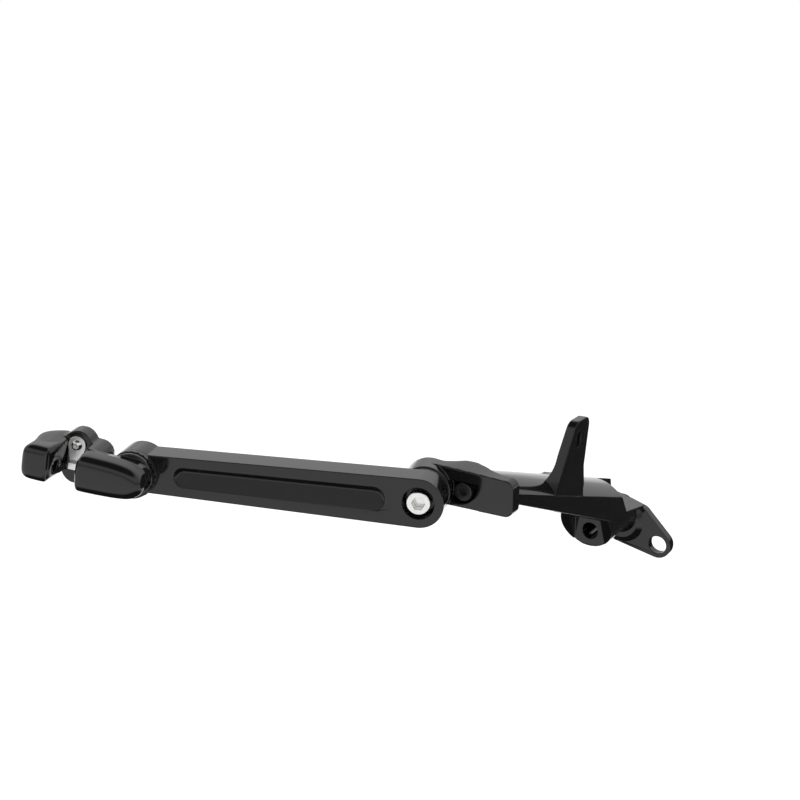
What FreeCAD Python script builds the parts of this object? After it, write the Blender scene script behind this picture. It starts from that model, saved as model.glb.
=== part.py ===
import FreeCAD, Part
import math
import os
import Sketcher

# Left-hand highway peg mount for a motorcycle frame, in millimetres.
# Frame: origin at the centre of the main bolt bore on the face of its raised boss, which
# bears on the frame. X points forward, Y outboard to the left and Z up.

V = FreeCAD.Vector

SIZES = {
    # Flange that bears on the frame
    "boss_height": 2.0,
    "boss_diameter": 19.0,
    "flange_thickness": 8.0,
    "flange_heel_x": -6.0,
    "flange_heel_z": -11.0,
    "flange_heel_radius": 19.5,
    "flange_crest_x": 11.0,
    "flange_crest_z": 2.5,
    "flange_crest_radius": 11.0,
    "flange_shoulder_x": -17.0,
    "flange_shoulder_z": -5.0,
    "flange_shoulder_radius": 9.5,
    "flange_notch_x": -3.0,
    "flange_notch_z": 20.5,
    "flange_notch_radius": 11.0,
    "ear_x": -34.7,
    "ear_z": -26.0,
    "ear_radius": 11.3,
    "ear_bore_diameter": 15.0,
    "main_bore_diameter": 13.0,
    # Lug under the root of the beam, with the seat for the main bolt
    "lug_z": 8.5,
    "lug_radius": 21.5,
    "lug_start": 26.0,
    "lug_nose_start": 69.5,
    "lug_nose_end": 84.0,
    "seat_y": 70.0,
    "seat_width": 26.0,
    "neck_x": -3.0,
    "neck_z": -9.5,
    "neck_radius": 14.5,
    "neck_fillet": 4.5,
    "neck_tip_z": 3.5,
    "neck_tip_radius": 16.0,
    # Crowned beam that rises outboard
    "crown_radius": 30.0,
    "crown_x": 3.0,
    "crown_rise": 18.5,
    "crown_top_z": 21.2,
    "beam_rear_x": -21.0,
    "beam_front_x": 33.0,
    "beam_root_bottom_y": 84.0,
    "beam_root_bottom_z": 17.0,
    "beam_tip_bottom_z": 88.0,
    "beam_length": 257.5,
    "beam_skin": 6.0,
    "core_start": 100.0,
    "core_end": 238.0,
    "rib_thickness": 5.0,
    # Window cut into the root of the beam
    "window_front_x": 8.0,
    "window_floor_z": 13.0,
    "window_floor_slope": 0.186,
    "window_tilt": 14.6,
    "window_floor_end": 46.5,
    "window_end": 57.3,
    "root_bottom_z": 5.0,
    "root_foot_z": 13.5,
    "root_crest_y": 18.0,
    "root_crest_z": 28.0,
    "window_bay_x": -3.0,
    "window_bay_z": 5.5,
    "window_bay_start": 14.0,
    "window_bay_length": 26.0,
    "core_hole_size": 9.0,
    # Tab that rises from the beam
    "tab_inner_y": 141.0,
    "tab_tip_outer_y": 168.0,
    "tab_foot_outer_y": 183.0,
    "tab_top_z": 119.5,
    "tab_thickness": 8.5,
    "tab_lean": 5.5,
    "tab_corner_radius": 8.0,
    "tab_taper": 1.8,
    "tab_flare": 5.0,
    "gusset_radius": 27.0,
    "slot_y": 157.5,
    "slot_low_z": 102.0,
    "slot_high_z": 108.0,
    "slot_width": 4.5,
    # End knuckle, a plate with a barrel for the arm's pivot
    "collar_height": 2.5,
    "collar_step": 1.6,
    "plate_thickness": 10.0,
    "plate_bottom_z": 82.5,
    "plate_top_z": 107.5,
    "plate_rear_x": -28.8,
    "plate_corner_radius": 6.0,
    "plate_web_x": 34.0,
    "plate_web_z": 96.9,
    "plate_web_radius": 13.5,
    "pocket_x": 12.0,
    "pocket_top_z": 101.0,
    "pocket_radius": 15.3,
    "pocket_depth": 8.0,
    "knuckle_bolt_x": 8.5,
    "knuckle_bolt_z": 93.5,
    "barrel_outer_radius": 17.4,
    "barrel_inner_radius": 16.8,
    "barrel_depth": 46.0,
    # Support arm
    "pivot_x": 23.2,
    "pivot_y": 302.3,
    "pivot_z": 93.4,
    "arm_splay": 20.0,
    "arm_rise": 2.5,
    "arm_length": 193.6,
    "arm_thickness": 20.0,
    "arm_rear_radius": 16.8,
    "arm_front_radius": 13.3,
    "arm_head_radius": 16.3,
    "arm_boss_height": 3.0,
    "arm_boss_radius": 15.1,
    "arm_edge": 0.8,
    "channel_depth": 2.6,
    "channel_rear_s": 30.0,
    "channel_rear_radius": 8.2,
    "channel_front_s": 159.0,
    "channel_front_radius": 6.9,
    "inner_channel_rear_s": 78.0,
    "badge_s": 53.0,
    "badge_diameter": 21.0,
    "badge_thickness": 1.6,
    # Serrated rings at both ends of the arm
    "ring_radius": 16.4,
    "ring_thickness": 4.0,
    "ring_bore_diameter": 16.0,
    "ring_seat_gap": 0.3,
    "ring_teeth": 24,
    "tooth_depth": 1.0,
    "dowel_diameter": 3.0,
    "dowel_length": 7.0,
    "dowel_circle_radius": 12.2,
    # Peg clevis
    "clevis_turn": 7.9,
    "hub_disc_radius": 15.8,
    "hub_disc_height": 3.0,
    "clevis_reach": 28.0,
    "clevis_tip_s": 67.5,
    "clevis_gap_rear_s": 32.0,
    "clevis_gap": 16.5,
    "clevis_web_face": -2.0,
    "clevis_back": -15.0,
    "clevis_wrap_s": 20.0,
    "clevis_top": 12.6,
    "clevis_bottom": -9.6,
    "clevis_corner_radius": 4.0,
    "clevis_ear_h": 8.6,
    "clevis_ear_radius": 10.3,
    "clevis_nose_reach": 22.5,
    "clevis_nose_s": -4.0,
    "clevis_nose_h": 2.2,
    "clevis_back_chamfer": 12.0,
    "clevis_shoulder_radius": 9.0,
    "clevis_nose_radius": 10.4,
    "back_slot_depth": 7.0,
    "back_slot_half_height": 12.0,
    "peg_pin_diameter": 8.0,
    "peg_pin_reach": 16.0,
    "peg_pin_h": -1.5,
    "peg_pin_start": 18.0,
    "leaf_s": 42.2,
    "leaf_h": 9.3,
    "leaf_radius": 6.2,
    "leaf_foot_width": 6.0,
    "leaf_length": 17.0,
    "leaf_thickness": 1.5,
    "leaf_foot_depth": 4.5,
    # Fasteners
    "bore_clearance": 0.06,
    "pivot_bolt_diameter": 10.0,
    "pivot_head_diameter": 16.0,
    "pivot_head_height": 10.0,
    "pivot_bolt_length": 35.0,
    "pivot_socket": 8.0,
    "pivot_washer_diameter": 20.0,
    "pivot_counterbore": 21.4,
    "front_bolt_diameter": 12.0,
    "front_head_diameter": 18.0,
    "front_head_height": 11.5,
    "front_bolt_length": 28.0,
    "front_socket": 8.0,
    "front_washer_diameter": 20.4,
    "front_counterbore": 21.0,
    "front_mouth_diameter": 27.0,
    "front_mouth_depth": 4.0,
    "washer_thickness": 2.0,
    "knuckle_bolt_diameter": 8.0,
    "knuckle_head_diameter": 13.0,
    "knuckle_head_height": 5.0,
    "knuckle_bolt_length": 20.0,
    "knuckle_socket": 5.0,
    "lock_washer_thickness": 1.8,
    "insert_wall": 2.0,
    "clevis_insert_wall": 1.5,
    "leaf_screw_diameter": 4.0,
    "leaf_screw_head_diameter": 7.4,
    "leaf_screw_head_height": 2.4,
    "leaf_screw_length": 8.0,
}

doc = FreeCAD.newDocument("highway_peg_mount")
sheet = doc.addObject("Spreadsheet::Sheet", "sizes")
for row, (alias, value) in enumerate(SIZES.items(), start=1):
    sheet.set(f"A{row}", alias)
    sheet.set(f"B{row}", str(value))
    sheet.setAlias(f"B{row}", alias)
doc.recompute()

finished = []


def expr(text):
    """Puts the sheet's name before every size that an expression uses."""
    words = []
    word = ""
    for letter in text + " ":
        if letter.isalnum() or letter == "_":
            word += letter
            continue
        words.append("sizes." + word if word in SIZES else word)
        words.append(letter)
        word = ""
    return "".join(words).strip()


def num(text):
    """Value of an expression written with the sizes' names."""
    value = sheet.evalExpression(expr(str(text)))
    return float(getattr(value, "Value", value))


def bind(item, **properties):
    """Binds properties to expressions; two underscores stand for a dot."""
    for name, text in properties.items():
        item.setExpression(name.replace("__", "."), expr(str(text)))
    return item


def finish(item, label, placement=None):
    """Marks an object as a finished sub-part with its own label and place."""
    item.Label = label
    if placement is not None:
        item.Placement = placement
    finished.append(item)
    return item


# Sketch planes: sketch x and y run along the named axes
PLANES = {
    "XY": FreeCAD.Rotation(),
    "XZ": FreeCAD.Rotation(V(1, 0, 0), 90),
    "YZ": FreeCAD.Rotation(V(1, 1, 1), 120),
}
NORMALS = {"XY": V(0, 0, 1), "XZ": V(0, 1, 0), "YZ": V(1, 0, 0)}
OFFSETS = {"XY": "Placement__Base__z", "XZ": "Placement__Base__y", "YZ": "Placement__Base__x"}


def free_sketch(name, plane):
    sketch = doc.addObject("Sketcher::SketchObject", name)
    sketch.Placement = FreeCAD.Placement(V(0, 0, 0), PLANES[plane])
    return sketch


def pin_point(sketch, geometry, end, name, x, y):
    """Fixes a point of a sketch at bound distances from the sketch's origin."""
    for kind, text in (("DistanceX", x), ("DistanceY", y)):
        label = name + kind[-1].lower()
        constraint = Sketcher.Constraint(kind, -1, 1, geometry, end, num(text))
        sketch.renameConstraint(sketch.addConstraint(constraint), label)
        sketch.setExpression("Constraints." + label, expr(str(text)))


def draw_polygon(sketch, points):
    """Draws a closed outline of straight lines through points given as expressions."""
    corners = [V(num(x), num(y), 0) for x, y in points]
    lines = []
    for start, stop in zip(corners, corners[1:] + corners[:1]):
        lines.append(sketch.addGeometry(Part.LineSegment(start, stop), False))
    for line, following in zip(lines, lines[1:] + lines[:1]):
        sketch.addConstraint(Sketcher.Constraint("Coincident", line, 2, following, 1))
    for line, (x, y) in zip(lines, points):
        pin_point(sketch, line, 1, f"p{line}", x, y)
    return sketch


def draw_belt(sketch, circles):
    """Draws the outline of a belt laid round circles, given anticlockwise as x, y, radius."""
    rounds = [(V(num(x), num(y), 0), num(radius)) for x, y, radius in circles]
    outward = []
    for (centre, radius), (beyond, following) in zip(rounds, rounds[1:] + rounds[:1]):
        span = beyond - centre
        swing = math.acos((radius - following) / span.Length)
        outward.append(math.atan2(span.y, span.x) - swing)
    arcs = []
    for index, (centre, radius) in enumerate(rounds):
        start, stop = outward[index - 1], outward[index]
        while stop < start:
            stop += 2 * math.pi
        circle = Part.Circle(centre, V(0, 0, 1), radius)
        arcs.append(sketch.addGeometry(Part.ArcOfCircle(circle, start, stop), False))
    lines = []
    for index, (centre, radius) in enumerate(rounds):
        beyond, following = rounds[(index + 1) % len(rounds)]
        side = V(math.cos(outward[index]), math.sin(outward[index]), 0)
        line = Part.LineSegment(centre + side * radius, beyond + side * following)
        lines.append(sketch.addGeometry(line, False))
    for index, line in enumerate(lines):
        following = arcs[(index + 1) % len(arcs)]
        sketch.addConstraint(Sketcher.Constraint("Tangent", arcs[index], 2, line, 1))
        sketch.addConstraint(Sketcher.Constraint("Tangent", line, 2, following, 1))
    for arc, (x, y, radius) in zip(arcs, circles):
        label = f"r{arc}"
        constraint = Sketcher.Constraint("Radius", arc, num(radius))
        sketch.renameConstraint(sketch.addConstraint(constraint), label)
        sketch.setExpression("Constraints." + label, expr(str(radius)))
        pin_point(sketch, arc, 3, f"c{arc}", x, y)
    return sketch


def extrusion(name, sketch, plane, start, length):
    """Extrudes a free sketch along its plane's axis from a bound start."""
    bind(sketch, **{OFFSETS[plane]: start})
    solid = doc.addObject("Part::Extrusion", name)
    solid.Base = sketch
    solid.DirMode = "Custom"
    solid.Dir = NORMALS[plane]
    solid.Solid = True
    return bind(solid, LengthFwd=length)


def prism(name, plane, points, start, length):
    return extrusion(name, draw_polygon(free_sketch(name + "_outline", plane), points), plane, start, length)


def belt(name, plane, circles, start, length):
    return extrusion(name, draw_belt(free_sketch(name + "_outline", plane), circles), plane, start, length)


def rod(name, plane, x, y, z, radius, length):
    """Cylinder that starts at a bound point and runs along the axis of a plane."""
    turns = {"XY": FreeCAD.Rotation(), "XZ": FreeCAD.Rotation(V(1, 0, 0), -90), "YZ": FreeCAD.Rotation(V(0, 1, 0), 90)}
    solid = doc.addObject("Part::Cylinder", name)
    solid.Placement = FreeCAD.Placement(V(0, 0, 0), turns[plane])
    bind(solid, Radius=radius, Height=length)
    return bind(solid, Placement__Base__x=x, Placement__Base__y=y, Placement__Base__z=z)


def cone(name, plane, x, y, z, first, last, length):
    turns = {"XY": FreeCAD.Rotation(), "XZ": FreeCAD.Rotation(V(1, 0, 0), -90)}
    solid = doc.addObject("Part::Cone", name)
    solid.Placement = FreeCAD.Placement(V(0, 0, 0), turns[plane])
    bind(solid, Radius1=first, Radius2=last, Height=length)
    return bind(solid, Placement__Base__x=x, Placement__Base__y=y, Placement__Base__z=z)


def block(name, x, y, z, length, width, height):
    solid = doc.addObject("Part::Box", name)
    bind(solid, Length=length, Width=width, Height=height)
    return bind(solid, Placement__Base__x=x, Placement__Base__y=y, Placement__Base__z=z)


def ring_wire(name, x, y, z, radius):
    """Circle about an axis that runs outboard, as a section of a loft."""
    circle = doc.addObject("Part::Circle", name)
    circle.Placement = FreeCAD.Placement(V(0, 0, 0), FreeCAD.Rotation(V(1, 0, 0), -90))
    bind(circle, Radius=radius)
    return bind(circle, Placement__Base__x=x, Placement__Base__y=y, Placement__Base__z=z)


def fuse(name, *shapes):
    solid = doc.addObject("Part::MultiFuse", name)
    solid.Shapes = list(shapes)
    solid.Refine = True
    return solid


def common(name, *shapes):
    solid = doc.addObject("Part::MultiCommon", name)
    solid.Shapes = list(shapes)
    return solid


def cut(name, base, *tools):
    solid = doc.addObject("Part::Cut", name)
    solid.Base = base
    solid.Tool = tools[0] if len(tools) == 1 else fuse(name + "_tools", *tools)
    solid.Refine = True
    return solid


def round_edges(name, base, radius, chosen):
    """Rounds the edges of a shape for which the test holds, with one bound radius."""
    doc.recompute()
    edges = [index for index, edge in enumerate(base.Shape.Edges, start=1) if chosen(edge)]
    solid = doc.addObject("Part::Fillet", name)
    solid.Base = base
    solid.Edges = [(index, num(radius), num(radius)) for index in edges]
    return solid


def edge_box(edge):
    box = edge.BoundBox
    return box.XMin, box.XMax, box.YMin, box.YMax, box.ZMin, box.ZMax


# Places: the arm's frame has X along the arm, Y along its pivot outboard and Z up
def arm_rotation():
    splay = FreeCAD.Rotation(V(0, 0, 1), num("arm_splay"))
    return splay.multiply(FreeCAD.Rotation(V(0, 1, 0), -num("arm_rise")))


ARM = FreeCAD.Placement(V(num("pivot_x"), num("pivot_y"), num("pivot_z")), arm_rotation())
CLEVIS = ARM.multiply(
    FreeCAD.Placement(V(num("arm_length"), 0, 0), FreeCAD.Rotation(V(0, 1, 0), -num("clevis_turn")))
)
OUTWARD = FreeCAD.Rotation(V(1, 0, 0), -90)
INWARD = FreeCAD.Rotation(V(1, 0, 0), 90)


def turned(label, profile, place, socket=None, head="0", socket_depth="0"):
    """Turned piece about Z from a half profile of radius and height, with a hexagon socket."""
    body = doc.addObject("PartDesign::Body", label + "_body")
    planes = {item.Role: item for item in body.Origin.OriginFeatures}
    sketch = body.newObject("Sketcher::SketchObject", label + "_profile")
    sketch.AttachmentSupport = [(planes["XZ_Plane"], "")]
    sketch.MapMode = "FlatFace"
    draw_polygon(sketch, profile)
    doc.recompute()
    solid = body.newObject("PartDesign::Revolution", label + "_turning")
    solid.Profile = sketch
    solid.ReferenceAxis = (sketch, ["V_Axis"])
    solid.Angle = 360
    doc.recompute()
    if socket is not None:
        across = f"({socket}) / sqrt(3)"
        corners = [(f"{across} * cos({60 * turn})", f"{across} * sin({60 * turn})") for turn in range(6)]
        hexagon = body.newObject("Sketcher::SketchObject", label + "_hexagon")
        hexagon.AttachmentSupport = [(planes["XY_Plane"], "")]
        hexagon.MapMode = "FlatFace"
        bind(hexagon, AttachmentOffset__Base__z=head)
        draw_polygon(hexagon, corners)
        doc.recompute()
        before = solid.Shape.Volume
        pocket = body.newObject("PartDesign::Pocket", label + "_socket")
        pocket.Profile = hexagon
        bind(pocket, Length=socket_depth)
        doc.recompute()
        if pocket.Shape.Volume >= before:
            raise RuntimeError(label + ": the socket cuts nothing")
    return finish(body, label, place)


def cap_screw(label, size, place, chamfer="0.6"):
    """Socket-head cap screw with its head above Z = 0 and its shank below."""
    head, tall, shank = f"{size}_head_diameter / 2", f"{size}_head_height", f"{size}_bolt_diameter / 2"
    length = f"{size}_bolt_length"
    profile = [
        ("0", tall),
        (f"{head} - {chamfer}", tall),
        (head, f"{tall} - {chamfer}"),
        (head, "0"),
        (shank, "0"),
        (shank, f"{chamfer} - {length}"),
        (f"{shank} - {chamfer}", f"-{length}"),
        ("0", f"-{length}"),
    ]
    return turned(label, profile, place, f"{size}_socket", tall, f"{tall} * 0.6")


def washer(label, bore, outer, thickness, place):
    profile = [(bore, "0"), (outer, "0"), (outer, thickness), (bore, thickness)]
    return turned(label, profile, place)


# Frame bracket, one casting
def frame_bracket():
    outline = [
        ("flange_crest_x", "flange_crest_z", "flange_crest_radius"),
        ("flange_shoulder_x", "flange_shoulder_z", "flange_shoulder_radius"),
        ("ear_x", "ear_z", "ear_radius"),
        ("flange_heel_x", "flange_heel_z", "flange_heel_radius"),
    ]
    plate = belt("flange_plate", "XZ", outline, "boss_height", "flange_thickness")
    notch = rod("flange_notch", "XZ", "flange_notch_x", "0", "flange_notch_z", "flange_notch_radius", "15")
    flange = cut("flange", plate, notch)
    boss = rod("bore_boss", "XZ", "0", "0", "0", "boss_diameter / 2", "boss_height")
    face = "boss_height + flange_thickness"
    neck_foot = cone("neck_foot", "XZ", "neck_x", face, "neck_z", "neck_radius + neck_fillet", "neck_radius",
                     "neck_fillet")
    root_ring = ring_wire("neck_root", "neck_x", "boss_height", "neck_z", "neck_radius")
    tip_ring = ring_wire("neck_tip", "0", "lug_start + 4", "neck_tip_z", "neck_tip_radius")
    neck_run = doc.addObject("Part::Loft", "neck_run")
    neck_run.Sections = [root_ring, tip_ring]
    neck_run.Solid = True
    neck = fuse("neck", neck_run, neck_foot)

    # The crown is the upper side of a cylinder laid along the beam's rise
    crown = doc.addObject("Part::Cylinder", "crown")
    crown.Placement = FreeCAD.Placement(V(0, 0, 0), FreeCAD.Rotation(V(1, 0, 0), num("crown_rise") - 90))
    bind(crown, Radius="crown_radius", Height="beam_length * 1.4")
    back = "beam_length * 0.15"
    bind(crown, Placement__Base__x="crown_x", Placement__Base__y=f"-({back}) * cos(crown_rise)")
    axis_drop = f"crown_top_z - crown_radius / cos(crown_rise) - ({back}) * sin(crown_rise)"
    bind(crown, Placement__Base__z=axis_drop)
    top = "crown_top_z + beam_length * tan(crown_rise) + 10"
    side = [
        ("boss_height + flange_thickness / 2", "root_bottom_z"),
        ("beam_root_bottom_y * 0.8", "lug_z"),
        ("beam_root_bottom_y", "beam_root_bottom_z"),
        ("beam_length", "beam_tip_bottom_z"),
        ("beam_length", top),
        ("root_crest_y", top),
        ("root_crest_y", "root_crest_z"),
        ("boss_height + flange_thickness / 2", "root_foot_z"),
    ]
    beam_side = prism("beam_side", "YZ", side, "beam_rear_x", "beam_front_x - beam_rear_x")
    beam = common("beam", crown, beam_side)

    lug_side = [
        ("lug_start", "lug_z - lug_radius"),
        ("lug_nose_start", "lug_z - lug_radius"),
        ("lug_nose_end", "beam_root_bottom_z + 2"),
        ("lug_nose_end", "lug_z + lug_radius * 0.6"),
        ("lug_start", "lug_z + lug_radius * 0.6"),
    ]
    lug_round = rod("lug_round", "XZ", "0", "lug_start", "lug_z", "lug_radius", "lug_nose_end")
    lug_trim = prism("lug_trim", "YZ", lug_side, "beam_rear_x", "lug_radius - beam_rear_x")
    lug = common("lug", lug_round, lug_trim)

    # Tab with its gusset, trimmed to a tapered front view
    lean = "beam_rear_x - tab_lean"
    front = f"{lean} + tab_thickness"
    base = "crown_top_z + tab_inner_y * tan(crown_rise)"
    side_view = [
        ("beam_rear_x", f"{base} - 25"),
        ("beam_rear_x", f"{base} - 8"),
        (lean, "tab_top_z"),
        (f"{front} - tab_taper", "tab_top_z"),
        (f"{front} + 1.5", f"{base} + gusset_radius"),
        (f"{front} + 1.5 + gusset_radius", f"{base} + gusset_radius"),
        (f"{front} + 1.5 + gusset_radius", f"{base} - 25"),
    ]
    tab_block = prism("tab_block", "XZ", side_view, "tab_inner_y - 6", "tab_foot_outer_y - tab_inner_y + 12")
    fillet_centre = f"{front} + 1.5 + gusset_radius"
    scoop = rod("gusset_scoop", "XZ", fillet_centre, "tab_inner_y - 10", f"{base} + gusset_radius", "gusset_radius",
                "tab_foot_outer_y - tab_inner_y + 30")
    scoop_lift = block("gusset_sky", fillet_centre, "tab_inner_y - 10", base, "gusset_radius",
                       "tab_foot_outer_y - tab_inner_y + 30", "gusset_radius * 2")
    front_view = [
        ("tab_inner_y - tab_flare", f"{base} - 14"),
        ("tab_foot_outer_y + 3", f"{base} + 2"),
        ("tab_tip_outer_y", "tab_top_z + 4"),
        ("tab_inner_y", "tab_top_z + 4"),
        ("tab_inner_y", f"{base} + 12"),
        ("tab_inner_y - tab_flare", f"{base} - 4"),
    ]
    tab_front = prism("tab_front", "YZ", front_view, f"{lean} - 1", "gusset_radius * 2")
    tab_middle = "(tab_inner_y + tab_tip_outer_y) / 2"
    cap_circles = [
        ("tab_inner_y + tab_corner_radius", "tab_top_z - tab_corner_radius", "tab_corner_radius"),
        ("tab_inner_y - 4", f"{base} - 40", "tab_corner_radius"),
        ("tab_foot_outer_y + 12", f"{base} - 40", "tab_corner_radius"),
        ("tab_tip_outer_y - tab_corner_radius", "tab_top_z - tab_corner_radius", "tab_corner_radius"),
    ]
    tab_cap = belt("tab_cap", "YZ", cap_circles, f"{lean} - 1", "gusset_radius * 2")
    tab = cut("tab", common("tab_solid", tab_block, tab_front, tab_cap), scoop, scoop_lift)
    slot = belt(
        "tab_slot",
        "YZ",
        [("slot_y", "slot_low_z", "slot_width / 2"), ("slot_y", "slot_high_z", "slot_width / 2")],
        f"{lean} - 2",
        "tab_thickness + 8",
    )

    # Window at the root: open to the top and the rear, with a floor that falls inboard and to the rear
    fall = "(window_floor_end - boss_height) * window_floor_slope"
    window_side = [
        ("boss_height", f"window_floor_z - {fall}"),
        ("window_floor_end", "window_floor_z"),
        ("window_end", "window_floor_z + window_end - window_floor_end + 5"),
        ("window_end", top),
        ("boss_height", top),
    ]
    window = prism("window", "YZ", window_side, "beam_rear_x - 10", "window_front_x - beam_rear_x + 10")
    hinge = V(num("beam_rear_x"), 0, num("window_floor_z"))
    tilt = FreeCAD.Rotation(V(0, 1, 0), -num("window_tilt"))
    window.Placement = FreeCAD.Placement(V(0, 0, 0), tilt, hinge)
    bay = block("window_bay", "window_bay_x", "window_bay_start", "window_bay_z",
                "window_front_x - window_bay_x - 1", "window_bay_length", "window_floor_z")
    core_hole = block("core_hole", "-core_hole_size / 2", "window_end - 4", "window_floor_z + 14",
                      "core_hole_size", "16", "core_hole_size * 0.9")

    # Seat for the main bolt, open at the bottom of the lug's nose
    seat = block("bolt_seat", "-seat_width / 2", "seat_y", "lug_z - lug_radius - 1",
                 "seat_width", "lug_nose_end", "lug_radius - lug_z + beam_root_bottom_z - 1")
    main_bore = rod("main_bore", "XZ", "0", "-1", "0", "main_bore_diameter / 2", "seat_y + 2")
    ear_bore = rod("ear_bore", "XZ", "ear_x", "0", "ear_z", "ear_bore_diameter / 2", "flange_thickness * 2")

    # Open core under the crown, in two bays with a rib between them
    core_round = doc.addObject("Part::Cylinder", "core_round")
    core_round.Placement = crown.Placement
    bind(core_round, Radius="crown_radius - beam_skin", Height="beam_length * 1.4")
    bind(core_round, Placement__Base__x="crown_x", Placement__Base__y=f"-({back}) * cos(crown_rise)")
    bind(core_round, Placement__Base__z=axis_drop)
    slope = "(beam_tip_bottom_z - beam_root_bottom_z) / (beam_length - beam_root_bottom_y)"

    def bay_side(name, start, stop):
        points = [
            (start, f"beam_root_bottom_z + ({start} - beam_root_bottom_y) * {slope} - 20"),
            (stop, f"beam_root_bottom_z + ({stop} - beam_root_bottom_y) * {slope} - 20"),
            (stop, top),
            (start, top),
        ]
        width = "beam_front_x - beam_rear_x - 2 * beam_skin"
        return prism(name, "YZ", points, "beam_rear_x + beam_skin", width)

    middle = "(core_start + core_end) / 2"
    bays = fuse(
        "core_bays",
        bay_side("core_bay_inner", "core_start", f"{middle} - rib_thickness / 2"),
        bay_side("core_bay_outer", f"{middle} + rib_thickness / 2", "core_end"),
    )
    core = common("core", core_round, bays)

    insert_radius = "knuckle_bolt_diameter / 2 + insert_wall"
    insert_hole = rod("insert_hole", "XZ", "knuckle_bolt_x", "beam_length - 16", "knuckle_bolt_z", insert_radius, "20")
    body = cut("bracket_beam", fuse("bracket_mass", flange, neck, beam, lug), window, bay, core_hole, seat, core)
    whole = fuse("bracket_whole", body, boss, tab)
    drilled = cut("bracket_drilled", whole, main_bore, ear_bore, slot, insert_hole)
    return finish(drilled, "frame_bracket")


# End knuckle: plate, collar round the beam's end and barrel
def end_knuckle():
    face = "beam_length + collar_height"
    corner = "plate_corner_radius"
    plate_rounds = [
        (f"plate_rear_x + {corner}", f"plate_bottom_z + {corner}", corner),
        ("plate_web_x", "plate_web_z", "plate_web_radius"),
        (f"plate_rear_x + {corner}", f"plate_top_z - {corner}", corner),
    ]
    plate = belt("knuckle_plate", "XZ", plate_rounds, face, "plate_thickness")
    axis_z = "crown_top_z - crown_radius / cos(crown_rise) + beam_length * tan(crown_rise)"
    collar_round = rod("collar_round", "XZ", "crown_x", "beam_length", axis_z, "crown_radius + collar_step",
                       "collar_height + 1")
    collar_box = block("collar_box", "beam_rear_x - collar_step", "beam_length", "plate_bottom_z + 1.5",
                       "beam_front_x - beam_rear_x", "collar_height + 1", "plate_top_z - plate_bottom_z - 1.5")
    collar = common("collar", collar_round, collar_box)
    barrel = doc.addObject("Part::Cone", "barrel")
    bind(barrel, Radius1="barrel_inner_radius", Radius2="barrel_outer_radius")
    bind(barrel, Height="barrel_depth - arm_thickness - ring_thickness")
    barrel.Placement = ARM.multiply(FreeCAD.Placement(V(0, -num("barrel_depth"), 0), OUTWARD))
    pocket_round = rod("pocket_round", "XZ", "pocket_x", f"{face} + plate_thickness - pocket_depth", "pocket_top_z",
                       "pocket_radius", "pocket_depth + 4")
    pocket_box = block("pocket_box", "pocket_x - pocket_radius", f"{face} + plate_thickness - pocket_depth",
                       "pocket_top_z - pocket_radius - 1", "2 * pocket_radius", "pocket_depth + 4", "pocket_radius + 1")
    pocket = common("knuckle_pocket", pocket_round, pocket_box)
    plate_cut = cut("knuckle_plate_cut", fuse("knuckle_flat", plate, collar), pocket)
    beam_room = rod("beam_room", "XZ", "crown_x", "beam_length - 30", axis_z, "crown_radius + 1", "30")
    whole = fuse("knuckle_whole", plate_cut, cut("barrel_trimmed", barrel, beam_room))
    bolt_hole = rod("knuckle_bolt_hole", "XZ", "knuckle_bolt_x", "beam_length - 1", "knuckle_bolt_z",
                    "knuckle_bolt_diameter / 2 + 0.3", "collar_height + plate_thickness")
    insert_hole = doc.addObject("Part::Cylinder", "pivot_insert_hole")
    bind(insert_hole, Radius="pivot_bolt_diameter / 2 + insert_wall", Height="barrel_depth")
    insert_hole.Placement = ARM.multiply(FreeCAD.Placement(V(0, -num("barrel_depth") - 1, 0), OUTWARD))
    keys = dowel_holes("rear_dowel_holes", REAR_RING)
    return finish(cut("knuckle_drilled", whole, bolt_hole, insert_hole, keys), "end_knuckle")


def knuckle_fasteners():
    seat = num("beam_length + collar_height + plate_thickness - pocket_depth")
    place = FreeCAD.Placement(V(num("knuckle_bolt_x"), seat, num("knuckle_bolt_z")), OUTWARD)
    washer("knuckle_lock_washer", "knuckle_bolt_diameter / 2 + 0.2", "knuckle_head_diameter / 2",
           "lock_washer_thickness", place)
    head = place.multiply(FreeCAD.Placement(V(0, 0, num("lock_washer_thickness")), FreeCAD.Rotation()))
    cap_screw("knuckle_bolt", "knuckle", head)
    depth = FreeCAD.Placement(V(num("knuckle_bolt_x"), num("beam_length - 16"), num("knuckle_bolt_z")), OUTWARD)
    washer("beam_thread_insert", "knuckle_bolt_diameter / 2", "knuckle_bolt_diameter / 2 + insert_wall", "16", depth)


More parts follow.
